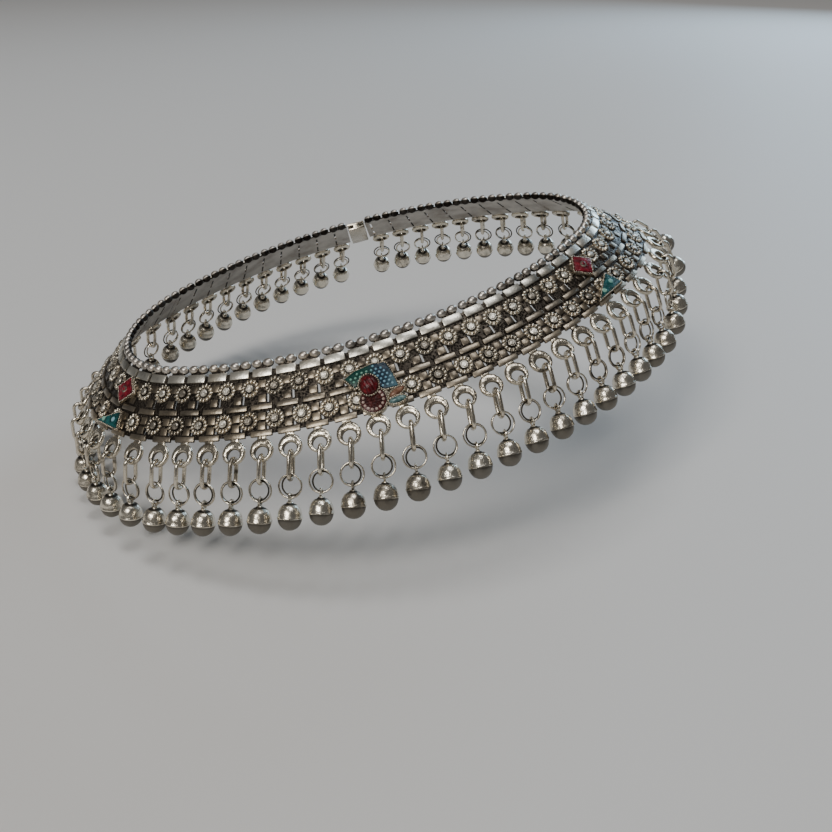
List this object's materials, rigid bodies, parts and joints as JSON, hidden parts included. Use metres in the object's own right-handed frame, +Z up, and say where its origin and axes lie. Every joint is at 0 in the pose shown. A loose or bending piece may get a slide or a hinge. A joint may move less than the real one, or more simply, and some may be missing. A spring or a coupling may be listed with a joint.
{
  "type": "payal anklet",
  "caption": "Silver payal anklet, worn form: wide flared band of bars, balls and rosettes with enamelled motifs, and a fringe of links, rings and small bells.",
  "frame": {"origin": "the middle of the band's upper rail, on the axis of the ankle it sits round", "axes": "+X towards the toes (longest), -Y the front side with the large motif, +Z up the leg; the rail is lower at the heel, as it is worn"},
  "size_m": [0.1355, 0.1068, 0.0498],
  "materials": {
    "silver": "polished silver with dark recesses",
    "teal_enamel": "glossy teal enamel",
    "red_enamel": "glossy deep red enamel",
    "orange_enamel": "glossy orange enamel"
  },
  "bodies": {
    "root": {"band": "silver", "clasp": "silver", "links": "silver", "jump_rings": "silver", "bells": "silver", "fan_front": "teal_enamel", "red_disc_front": "red_enamel", "red_cabochon_front": "red_enamel", "orange_leaf_front": "orange_enamel", "teal_leaf_front": "teal_enamel", "fan_toe_back": "teal_enamel", "red_disc_toe_back": "red_enamel", "red_cabochon_toe_back": "red_enamel", "orange_leaf_toe_back": "orange_enamel", "teal_leaf_toe_back": "teal_enamel", "fan_heel_back": "teal_enamel", "red_disc_heel_back": "red_enamel", "red_cabochon_heel_back": "red_enamel", "orange_leaf_heel_back": "orange_enamel", "teal_leaf_heel_back": "teal_enamel", "crimson_rhombus_toe": "red_enamel", "teal_petal_toe": "teal_enamel", "crimson_rhombus_heel": "red_enamel", "teal_petal_heel": "teal_enamel"}
  },
  "joints": []
}
